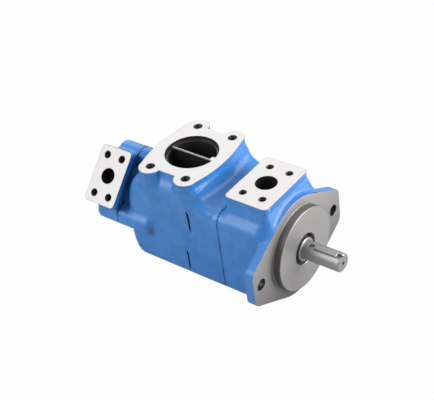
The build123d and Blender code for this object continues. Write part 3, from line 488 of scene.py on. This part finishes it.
def bolt_holes(mount_name, depth):
    """What bore_of gives, for each hole of a two- or four-bolt pattern."""
    mount = mounts[mount_name]
    dims = mount["dims"]
    radius = dims["hole_r_mm"] / 1000 + bore_gap
    centre, axis = Vector(mount["pos_m"]), Vector(mount["axis"])
    half_x = dims["spacing_x_mm"] / 2000
    if "spacing_y_mm" not in dims:
        arms = [(0, half_x, 0), (0, -half_x, 0)]
    else:
        half_y = dims["spacing_y_mm"] / 2000
        arms = [(x, y, 0) for x in (-half_x, half_x) for y in (-half_y, half_y)]
    return [(centre + Vector(arm), axis, radius, depth) for arm in arms]


pilot = mounts["pilot"]
outlet_2_holes = [name for name in mounts if name.startswith("outlet_2_hole")]
front_paint = casting(
    "front_body_finish",
    [face_of("outlet_1_port")],
    (face_of("pilot"), pilot["pos_m"], pilot["axis"], pilot["dims"]["r_mm"] / 1000),
    [
        bore_of("outlet_1_port", outlet_1_depth),
        *bolt_holes("outlet_1_bolts", outlet_1_hole_depth),
        *bolt_holes("flange_bolts", ear_hole_depth),
    ],
)
dress(["front_body"], front_paint)
inlet_up, inlet_at = face_of("inlet_port")
inlet_paint = casting(
    "inlet_body_finish",
    [face_of("inlet_port")],
    None,
    [bore_of("inlet_port", inlet_depth), *bolt_holes("inlet_bolts", inlet_hole_depth)],
    (
        (inlet_up, inlet_at - web_drop),
        (*bore_of("inlet_port", inlet_depth)[:2], throat_radius, throat_mask_depth),
    ),
)
dress(["inlet_body"], inlet_paint)
cover_paint = casting(
    "rear_cover_finish",
    [face_of("outlet_2_port")],
    None,
    [
        bore_of("outlet_2_port", outlet_2_depth),
        *[bore_of(name, outlet_2_hole_depth) for name in outlet_2_holes],
    ],
)
dress(["rear_cover"], cover_paint)

# %% [markdown]
# ## New pieces
# A new piece is a mesh whose points numpy works out, fixed to the housing.


# %% Mesh kit
def smooth_piece(name, points, faces, material):
    """A smooth mesh from points in metres and four-sided faces, riding on the housing."""
    mesh = bpy.data.meshes.new(name)
    mesh.vertices.add(len(points))
    mesh.vertices.foreach_set("co", points.astype(np.float32).ravel())
    mesh.loops.add(faces.size)
    mesh.loops.foreach_set("vertex_index", faces.astype(np.int32).ravel())
    mesh.polygons.add(len(faces))
    mesh.polygons.foreach_set("loop_start", np.arange(0, faces.size, 4, dtype=np.int32))
    mesh.polygons.foreach_set("use_smooth", np.ones(len(faces), dtype=bool))
    mesh.update(calc_edges=True)
    mesh.validate()
    mesh.materials.append(material)
    piece = bpy.data.objects.new(name, mesh)
    scene.collection.objects.link(piece)
    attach(piece, "housing")


# %% [markdown]
# ## Cast skins
# A sand casting has no sharp inner corner: bosses, necks and skirts flow into the body. The
# solids meet at plain corners, so each casting gets a skin a tenth of a millimetre outside it,
# with those corners filled. The skin is where a distance field is zero. The field is worked
# out by numpy from simple shapes: it is each shape's distance, and two shapes join by a
# smooth minimum, which fills the corner between them. Lengths here are in millimetres.

# %% Distance fields
millimetre = 0.001
skin_gap = 0.12
skin_step = 1.6
slope_nudge = 0.05
slope_floor = 0.2
newton_rounds = 4
lean_floor = 0.3
shift_limit = 1.0


def rounded_rectangle(p, q, half_p, half_q, corner):
    """Distance in a plane to a rectangle about the origin with rounded corners."""
    over_p, over_q = np.abs(p) - half_p + corner, np.abs(q) - half_q + corner
    outside = np.hypot(np.maximum(over_p, 0), np.maximum(over_q, 0))
    return outside + np.minimum(np.maximum(over_p, over_q), 0) - corner


def slab(outline, along, span, edge=0.0):
    """A flat outline's distance carried over a span (low, high), its two rims rounded."""
    low, high = span
    over = np.abs(along - (low + high) / 2) - (high - low) / 2 + edge
    outline = outline + edge
    outside = np.hypot(np.maximum(outline, 0), np.maximum(over, 0))
    return outside + np.minimum(np.maximum(outline, over), 0) - edge


def polygon(p, q, corners):
    """Signed distance in a plane to a closed polygon: the distance to the nearest side, and
    negative where a ray crosses an odd number of sides."""
    corners = np.asarray(corners, float)
    nearest, inside = np.full(np.broadcast(p, q).shape, np.inf), False
    for (ap, aq), (bp, bq) in zip(corners, np.roll(corners, -1, axis=0)):
        side_p, side_q = bp - ap, bq - aq
        share = ((p - ap) * side_p + (q - aq) * side_q) / (side_p**2 + side_q**2)
        share = np.clip(share, 0, 1)
        away = (p - ap - share * side_p) ** 2 + (q - aq - share * side_q) ** 2
        nearest = np.minimum(nearest, away)
        if aq != bq:
            level = (aq > q) != (bq > q)
            inside = inside ^ (level & (p < ap + (q - aq) * side_p / side_q))
    return np.where(inside, -1, 1) * np.sqrt(nearest)


def join(first, second, fillet):
    """Smooth minimum: the nearer distance, less a fillet where the two are alike."""
    share = np.clip(0.5 + 0.5 * (second - first) / fillet, 0, 1)
    return second + (first - second) * share - fillet * share * (1 - share)


def slope_of(field, points):
    """The field's slope at each point, from small steps either way along each axis."""
    steps = slope_nudge * np.eye(3)
    rise = [field(*(points + step).T) - field(*(points - step).T) for step in steps]
    return np.stack(rise, axis=-1) / (2 * slope_nudge)


# %% [markdown]
# A surface net turns a field into a mesh. It looks at a grid of cells, puts one point in each
# cell that the zero crosses, and moves it onto the zero by Newton's method.


# %% Surface net
def surface_net(field, low, high):
    """Points and four-sided faces on a field's zero within a box. Each grid cell that the
    zero crosses holds one point, moved onto the zero along the field's slope; each grid edge
    that it crosses makes one face from the four cells round it."""
    ticks = [np.arange(a, b + skin_step, skin_step) for a, b in zip(low, high)]
    shape = tuple(len(t) for t in ticks)
    grid = np.meshgrid(*ticks, indexing="ij", sparse=True)
    inside = np.broadcast_to(field(*grid), shape) < 0
    count = sum(
        inside[i : shape[0] - 1 + i, j : shape[1] - 1 + j, k : shape[2] - 1 + k].astype(np.int8)
        for i in (0, 1) for j in (0, 1) for k in (0, 1)
    )
    cells = np.argwhere((count > 0) & (count < 8))
    number = np.full(count.shape, -1)
    number[tuple(cells.T)] = np.arange(len(cells))
    points = np.array([t[0] for t in ticks]) + (cells + 0.5) * skin_step
    for _ in range(newton_rounds):
        level, slope = field(*points.T), slope_of(field, points)
        steepness = np.maximum((slope**2).sum(1), slope_floor)
        points = points - level[:, None] * slope / steepness[:, None]
    faces = []
    for axis in range(3):
        second, third = (axis + 1) % 3, (axis + 2) % 3
        back_second, back_third = np.eye(3, dtype=int)[[second, third]]
        near = np.take(inside, range(shape[axis] - 1), axis)
        far = np.take(inside, range(1, shape[axis]), axis)
        for crossing, turned in ((near & ~far, False), (far & ~near, True)):
            at = np.argwhere(crossing)
            at = at[(at[:, second] > 0) & (at[:, third] > 0)]
            at = at[(at[:, second] < shape[second] - 1) & (at[:, third] < shape[third] - 1)]
            ring = [at, at - back_second, at - back_second - back_third, at - back_third]
            if turned:
                ring = ring[::-1]
            faces.append(np.stack([number[tuple(corner.T)] for corner in ring], axis=1))
    return points, np.concatenate(faces)


def inside_bore(points, bore):
    """Which points lie in a bore along X, given as (Y, Z, radius, low X, high X)."""
    centre_y, centre_z, radius, low, high = bore
    near = np.hypot(points[:, 1] - centre_y, points[:, 2] - centre_z) < radius
    return near & (points[:, 0] > low) & (points[:, 0] < high)


def skin_piece(name, field, box, planes, material, bores=(), slots=()):
    """The skin over a field. It ends flat at each plane (facing, distance) and at the two
    sides of each slot, and in a circle round each bore; slots and bores are both given as
    (Y, Z, radius, low X, high X)."""

    def grown(x, y, z):
        return field(x, y, z) - skin_gap

    points, faces = surface_net(grown, *box)
    drop = np.zeros(len(faces), bool)
    for facing, distance in planes:
        over = points @ np.array(facing) - distance
        drop |= (over[faces] > 0).all(axis=1)
        points = points - np.maximum(over, 0)[:, None] * np.array(facing)
    for slot in slots:
        low, high = slot[3:]
        near = inside_bore(points, slot)
        side = np.where(points[:, 0] < (low + high) / 2, low, high)
        points[:, 0] = np.where(near, side, points[:, 0])
        bridging = np.ptp(points[faces, 0], axis=1) >= high - low
        drop |= near[faces].all(axis=1) | (near[faces].any(axis=1) & bridging)
    for bore in bores:
        centre, radius = np.array(bore[:2]), bore[2]
        near = inside_bore(points, bore)
        drop |= near[faces].all(axis=1)
        arm = points[near, 1:] - centre
        points[near, 1:] = centre + arm * (radius / np.hypot(*arm.T))[:, None]
        lean = slope_of(grown, points[near])[:, 0]
        shift = grown(*points[near].T) / np.where(np.abs(lean) > lean_floor, lean, np.inf)
        points[near, 0] -= np.clip(shift, -shift_limit, shift_limit)
    used, faces = np.unique(faces[~drop], return_inverse=True)
    smooth_piece(name, points[used] * millimetre, faces.reshape(-1, 4), material)


# %% [markdown]
# The shapes follow the solids: the square blocks, the profile of the inlet body from the side,
# its flange of four lugs, the screw bosses, the outlet pads and their skirts. A skin stops
# short of each machined face and of each joint, whose bevels stay in sight. A span that names
# no face of the pump ends inside another shape or beyond the plane that cuts it.

# %% Sizes that the castings share
front_joint, rear_joint = -68.0, -217.0
joint_bevel = 1.0
face_skip = 0.35
block_half, block_corner = 55.5, 14.0
barrel_radius = 50.0
boss_radius, boss_reach = 13.5, 50.5
boss_centres = [(0, boss_reach), (0, -boss_reach), (boss_reach, 0), (-boss_reach, 0)]
screw_clear = 8.8
diagonal = np.sqrt(0.5)  # what a unit step at 45 degrees is along each axis


def bosses(x, y, z, span, edge):
    """The four screw bosses, at the ends of a cross about the shaft axis: the least of their
    distances."""
    nearest = np.inf
    for centre_y, centre_z in boss_centres:
        away = np.hypot(y - centre_y, z - centre_z) - boss_radius
        nearest = np.minimum(nearest, slab(away, x, span, edge))
    return nearest


def pad_and_skirt(along, across, out, pad):
    """A port pad, or the skirt under it, whichever is nearer. The skirt's outline is a rounded
    rectangle that grows evenly with depth below the pad. Growing sideways makes its distance
    too long, so that is scaled by the cosine of the slope."""
    drop = np.clip((pad["under"] - out) / pad["skirt_depth"], 0, pad["skirt_reach"])
    half_along, half_across = pad["skirt_half"]
    grow_along, grow_across = pad["skirt_growth"]
    skirt = rounded_rectangle(
        along + pad["skirt_shift"] * drop,
        across,
        half_along + grow_along * drop,
        half_across + grow_across * drop,
        pad["corner"] + pad["corner_growth"] * drop,
    )
    skirt = slab(skirt * pad["skirt_cosine"], out, pad["skirt_span"])
    top = rounded_rectangle(along, across, *pad["half"], pad["corner"])
    return np.minimum(skirt, slab(top, out, pad["span"], pad["edge"]))


# %% Inlet body's skin
block_span, barrel_span, boss_span = (-108.0, -50.0), (-230.0, -90.0), (-235.0, -168.0)
barrel_fillet, boss_fillet, neck_fillet = 4.0, 5.0, 9.0
boss_edge = 9.0
flank_span, flank_edge = (-55.1, 55.1), 12.0
inlet_centre, inlet_top, inlet_under = -139.3, 84.6, 72.6
inlet_half_x, inlet_half_y, lug_reach = 25.4, 44.45, 13.8
inlet_bulge_x, inlet_flat_y = 45.5, 46.0
inlet_span, inlet_edge, neck_span = (inlet_under, 100.0), 0.6, (25.0, inlet_under + 4.0)
column_depth, column_lean, column_shrink = inlet_under - 46.0, 1.85, 3.3
relief_radius, relief_width, relief_margin = 30.3, 2.5, 0.2
rear_profile = [
    (-179.5, 72.6), (-185.2, 68.2), (-190.2, 63.1), (-194.7, 57.4), (-198.4, 51.3),
    (-201.5, 44.8), (-204.0, 38.1), (-206.0, 31.2), (-207.4, 24.1), (-208.5, 17.0),
    (-209.2, 9.9), (-209.8, 2.7), (-210.2, -4.5), (-210.3, -11.7), (-210.3, -18.9),
    (-210.0, -26.0), (-209.4, -33.2), (-207.9, -40.2), (-205.2, -46.9), (-200.5, -52.3),
    (-194.0, -55.1),
]
front_profile = [
    (-72.0, -55.1), (-72.0, 55.1), (-75.2, 55.6), (-78.3, 56.4), (-81.4, 57.4),
    (-84.3, 58.6), (-87.1, 60.1), (-89.8, 62.0), (-92.1, 64.1), (-94.1, 66.7),
    (-95.6, 69.5), (-96.5, 72.6),
]
flank_profile = rear_profile + front_profile
screw_centres = [(side * 40.5, lift * 40.5) for side in (-1, 1) for lift in (-1, 1)]
reliefs = [
    (side * 81.6, lift * 30.0, relief_radius, end - relief_width - relief_margin,
     end + relief_margin)
    for side in (-1, 1)
    for lift, end in ((1, -108.0), (-1, -118.0))
]


def arc_through(first, middle, last, count=24):
    """Points on the circle through three points, from the first to the last."""
    (ax, ay), (bx, by), (cx, cy) = first, middle, last
    twice = 2 * (ax * (by - cy) + bx * (cy - ay) + cx * (ay - by))
    squares = [ax**2 + ay**2, bx**2 + by**2, cx**2 + cy**2]
    ox = (squares[0] * (by - cy) + squares[1] * (cy - ay) + squares[2] * (ay - by)) / twice
    oy = (squares[0] * (cx - bx) + squares[1] * (ax - cx) + squares[2] * (bx - ax)) / twice
    start, end = np.arctan2(ay - oy, ax - ox), np.arctan2(cy - oy, cx - ox)
    span = (end - start + np.pi) % (2 * np.pi) - np.pi
    angles = start + span * np.linspace(0, 1, count)
    radius = np.hypot(ax - ox, ay - oy)
    return [(ox + radius * np.cos(a), oy + radius * np.sin(a)) for a in angles]


end_x = inlet_half_x + lug_reach
half_core = arc_through((end_x, -inlet_half_y), (inlet_bulge_x, 0), (end_x, inlet_half_y)) + [
    (inlet_half_x, inlet_flat_y), (-inlet_half_x, inlet_flat_y)
]
inlet_core = half_core + [(-x, -y) for x, y in half_core]


def inlet_field(x, y, z):
    """The block or the profiled flanks, whichever is nearer, joined to the round rear end and
    its bosses; then joined to the inlet: above, the flange of a core and four round lugs, and
    below it the core again with four columns that thin and lean inwards as they go down."""
    block = rounded_rectangle(y, z, block_half, block_half, block_corner)
    flank = slab(polygon(x, z, flank_profile), y, flank_span, flank_edge)
    body = np.minimum(slab(block, x, block_span), flank)
    body = join(body, slab(np.hypot(y, z) - barrel_radius, x, barrel_span), barrel_fillet)
    body = join(body, bosses(x, y, z, boss_span, boss_edge), boss_fillet)
    across = x - inlet_centre
    core = polygon(across, y, inlet_core)
    lug_x, lug_y = np.abs(across) - inlet_half_x, np.abs(y) - inlet_half_y
    lugs = np.hypot(lug_x, lug_y) - lug_reach
    sunk = np.clip((inlet_under - z) / column_depth, 0, 2)
    columns = np.hypot(lug_x, lug_y + column_lean * sunk) - lug_reach + column_shrink * sunk
    flange = slab(np.minimum(core, lugs), z, inlet_span, inlet_edge)
    neck = slab(np.minimum(core, columns), z, neck_span)
    return join(body, np.minimum(flange, neck), neck_fillet)


skin_piece(
    "inlet_body_skin",
    inlet_field,
    ((-222, -66, -66), (-64, 66, 90)),
    [((1, 0, 0), front_joint - joint_bevel), ((-1, 0, 0), -rear_joint - joint_bevel),
     ((0, 0, 1), inlet_top - face_skip)],
    inlet_paint,
    bores=[(*centre, screw_clear, -216.0, -180.0) for centre in screw_centres],
    slots=reliefs,
)

# %% Front body's skin
front_block_span = (-90.0, -1.0)
blend_start, blend_length, blend_growth, blend_corner = -16.0, 13.0, 5.2, 46.5
flange_span, flange_edge, flange_fillet, skirt_fillet = (-11.0, 20.0), 0.8, 3.0, 5.0
flange_disc, ear_round, ear_out, ear_lift = 62.0, 12.0, 75.0, 15.0
flange_hole_out, flange_hole_clear = 73.0, 7.5
front_pad_face = 76.9
front_pad = {
    "centre": -36.1, "under": 69.9, "span": (69.9, 90.0), "half": (28.0, 41.5),
    "corner": 6.0, "edge": 0.5, "skirt_half": (27.5, 41.0), "skirt_growth": (4.5, 7.0),
    "corner_growth": 6.0, "skirt_shift": -2.1, "skirt_depth": 18.9, "skirt_reach": 1.4,
    "skirt_span": (45.0, 72.0), "skirt_cosine": 0.94,
}


def circle_points(centre_y, centre_z, radius, count):
    """Evenly spaced points round a circle."""
    angles = np.linspace(0, 2 * np.pi, count + 1)[:-1]
    return [(centre_y + radius * np.cos(a), centre_z + radius * np.sin(a)) for a in angles]


def hull(spots):
    """The points' convex hull, walked along its lower side and back along its upper one."""
    outline = []
    for walk in (sorted(spots), sorted(spots, reverse=True)):
        chain = []
        for spot in walk:
            while len(chain) > 1 and (
                (chain[-1][0] - chain[-2][0]) * (spot[1] - chain[-2][1])
                <= (chain[-1][1] - chain[-2][1]) * (spot[0] - chain[-2][0])
            ):
                chain.pop()
            chain.append(spot)
        outline += chain[:-1]
    return outline


flange_spots = circle_points(0.0, 0.0, flange_disc, 72)
for side in (-1, 1):
    for lift in (-1, 1):
        flange_spots += circle_points(side * ear_out, lift * ear_lift, ear_round, 48)
flange_outline = hull(flange_spots)


def front_field(x, y, z):
    """The square block, whose outline swells and rounds towards the mounting flange, joined to
    the flange and to the outlet's pad and skirt."""
    blend = np.clip((x - blend_start) / blend_length, 0, 1)
    half = block_half + blend_growth * blend
    block = rounded_rectangle(y, z, half, half, block_corner + blend_corner * blend)
    flange = slab(polygon(y, z, flange_outline), x, flange_span, flange_edge)
    body = join(slab(block, x, front_block_span), flange, flange_fillet)
    pad = pad_and_skirt(x - front_pad["centre"], y, z, front_pad)
    return join(body, pad, skirt_fillet)


skin_piece(
    "front_body_skin",
    front_field,
    ((-72, -92, -68), (3, 92, 82)),
    [((-1, 0, 0), -front_joint - joint_bevel), ((1, 0, 0), -face_skip),
     ((0, 0, 1), front_pad_face - face_skip)],
    front_paint,
    bores=[
        (side * flange_hole_out, 0.0, flange_hole_clear, -14.0, 2.0) for side in (-1, 1)
    ],
)

# %% Rear cover's skin
cover_span, end_span, end_radius = (-250.0, -200.0), (-258.0, -230.0), 40.6
cover_edge, end_fillet, cover_fillet, rear_skirt_fillet = 4.0, 2.0, 4.0, 5.0
rear_pad_face = 72.9
rear_pad = {
    "centre": -231.4, "under": 64.9, "span": (64.9, 90.0), "half": (22.5, 35.0),
    "corner": 5.0, "edge": 0.5, "skirt_half": (22.0, 34.5), "skirt_growth": (-5.9, 1.5),
    "corner_growth": 0.0, "skirt_shift": 2.5, "skirt_depth": 12.9, "skirt_reach": 1.0,
    "skirt_span": (30.0, 67.0), "skirt_cosine": 0.9,
}


def cover_field(x, y, z):
    """The round cover joined to its smaller end, to the bosses, and to the outlet's pad and
    skirt, which lean half a right angle towards -Y."""
    barrel = slab(np.hypot(y, z) - barrel_radius, x, cover_span, cover_edge)
    end = slab(np.hypot(y, z) - end_radius, x, end_span, cover_edge)
    body = join(barrel, end, end_fillet)
    body = join(body, bosses(x, y, z, cover_span, cover_edge), cover_fillet)
    across, out = (y + z) * diagonal, (z - y) * diagonal
    pad = pad_and_skirt(x - rear_pad["centre"], across, out, rear_pad)
    return join(body, pad, rear_skirt_fillet)


skin_piece(
    "rear_cover_skin",
    cover_field,
    ((-262, -76, -68), (-214, 68, 80)),
    [((1, 0, 0), rear_joint - joint_bevel),
     ((0, -diagonal, diagonal), rear_pad_face - face_skip)],
    cover_paint,
    bores=[(*centre, screw_clear, -256.0, -236.0) for centre in boss_centres],
)

# %% [markdown]
# ## Bare steels, bronze and rubber
# Ground steel is a soft grey with faint clouds and bearing steel is nearly a mirror; springs
# are tempered dark; side plates are lapped bronze; seals are matt black rubber.


# %% Plain finishes
metal_noise = (900.0, 4.0)
metal_cloud = 0.12
metal_rough_swing = 0.15
metal_bump, rubber_bump = (0.05, 0.0002), (0.1, 0.0003)
rubber_noise = (700.0, 3.0)
rubber_dark, rubber_light = (0.012, 0.012, 0.013, 1.0), (0.03, 0.03, 0.032, 1.0)
rubber_rough = 0.6


def metal_finish(name, colour, rough):
    """Bare metal, a little darker and smoother in clouds."""
    finish = Finish(name)
    cloud = finish.noise(*metal_noise)
    darker = tuple(channel * (1.0 - metal_cloud) for channel in colour) + (1.0,)
    share = finish.spread(cloud, noise_low, noise_high)
    finish.colour(finish.blend(share, darker, colour + (1.0,)))
    least, most = rough * (1.0 - metal_rough_swing), rough * (1.0 + metal_rough_swing)
    rough_share = finish.spread(cloud, noise_low, noise_high, least, most)
    finish.feed(finish.shader.inputs["Roughness"], rough_share)
    finish.set(metallic=1.0)
    finish.bump(cloud, *metal_bump)
    return finish.material


def rubber_finish(name):
    """Matt black rubber."""
    finish = Finish(name)
    cloud = finish.noise(*rubber_noise)
    finish.colour(finish.blend(cloud, rubber_dark, rubber_light))
    finish.set(roughness=rubber_rough)
    finish.bump(cloud, *rubber_bump)
    return finish.material


slot_finish = {
    "ground_steel": metal_finish("ground_steel_finish", (0.40, 0.395, 0.40), 0.50),
    "key_steel": metal_finish("key_steel_finish", (0.34, 0.335, 0.34), 0.46),
    "spring_steel": metal_finish("spring_steel_finish", (0.16, 0.16, 0.17), 0.30),
    "seal_case_steel": metal_finish("seal_case_finish", (0.05, 0.05, 0.055), 0.35),
    "bearing_steel": metal_finish("bearing_steel_finish", (0.72, 0.72, 0.73), 0.10),
    "cage_brass": metal_finish("cage_brass_finish", (0.70, 0.52, 0.24), 0.30),
    "black_screws": metal_finish("black_screw_finish", (0.07, 0.07, 0.075), 0.38),
    "plate_bronze": metal_finish("side_plate_finish", (0.62, 0.46, 0.28), 0.30),
    "plate_iron": metal_finish("support_plate_finish", (0.34, 0.34, 0.35), 0.35),
    "seal_rubber": rubber_finish("seal_rubber_finish"),
}
for part in record["subparts"]:
    if part["material_slot"] in slot_finish:
        dress([part["node"]], slot_finish[part["material_slot"]])

# %% [markdown]
# ## Threads in the port holes
# The solids' tapped holes are plain bores. A thread is laid inside each: one surface over the
# turn round the hole and the depth below the face. Its radius is the bore's less a small gap
# and less a ridge; the ridge is a triangle wave of the depth in pitches minus the turn, so the
# ridges climb as a helix. The ridge fades in over the first pitch, like a countersunk start.

# %% Port threads
thread_turns = 24
thread_steps = 6
thread_gap = 0.00006
thread_start = 0.0004
ridge_share = 0.54


def triangle(phase):
    """A wave from 0 to 1 and back once per unit of phase."""
    return 1.0 - np.abs(2.0 * (phase % 1.0) - 1.0)


def tube_faces(rows, columns):
    """Four-sided faces over a grid of points whose columns close on themselves."""
    row, column = np.meshgrid(np.arange(rows - 1), np.arange(columns), indexing="ij")
    after = (column + 1) % columns
    corners = (
        row * columns + column, row * columns + after,
        (row + 1) * columns + after, (row + 1) * columns + column,
    )
    return np.stack(corners, axis=-1).reshape(-1, 4)


def thread_points(face_point, axis, radius, pitch, depth):
    """Thread surface: at turn t and depth d below the face, the point lies on the ray at angle
    2 pi t from the axis, at radius - gap - 0.54 pitch times a triangle wave of d / pitch - t,
    the wave being scaled from none at the face to the full ridge one pitch down."""
    axis = Vector(axis).normalized()
    side = Vector((1, 0, 0)) if abs(axis.x) < 0.9 else Vector((0, 1, 0))
    first = (side - axis * side.dot(axis)).normalized()
    second = axis.cross(first)
    turn = np.arange(thread_turns) / thread_turns
    down = np.arange(0.0, depth, pitch / thread_steps)
    down, turn = np.meshgrid(down, turn, indexing="ij")
    fade = np.clip(down / pitch, 0.0, 1.0)
    ridge = ridge_share * pitch * triangle(down / pitch - turn) * fade
    reach = (radius - thread_gap - ridge)[..., None]
    angle = 2 * np.pi * turn[..., None]
    return (
        np.array(face_point)
        + reach * np.cos(angle) * np.array(first)
        + reach * np.sin(angle) * np.array(second)
        - (down + thread_start)[..., None] * np.array(axis)
    )


# The threads' steel is darkened nearly to black, painted shade for the inside of the holes.
threads_in_shade = metal_finish("threads_in_shade_finish", (0.06, 0.058, 0.056), 0.45)
thread_sets = {
    "inlet_thread": (bolt_holes("inlet_bolts", 0.018), 0.00175),
    "front_outlet_thread": (bolt_holes("outlet_1_bolts", 0.014), 0.0015),
    "rear_outlet_thread": ([bore_of(name, 0.013) for name in outlet_2_holes], 0.0015),
}
for set_name, (holes, pitch) in thread_sets.items():
    for number, (point, axis, radius, depth) in enumerate(holes, 1):
        points = thread_points(point, axis, radius - bore_gap, pitch, depth)
        faces = tube_faces(*points.shape[:2])
        smooth_piece(f"{set_name}_{number}", points.reshape(-1, 3), faces, threads_in_shade)
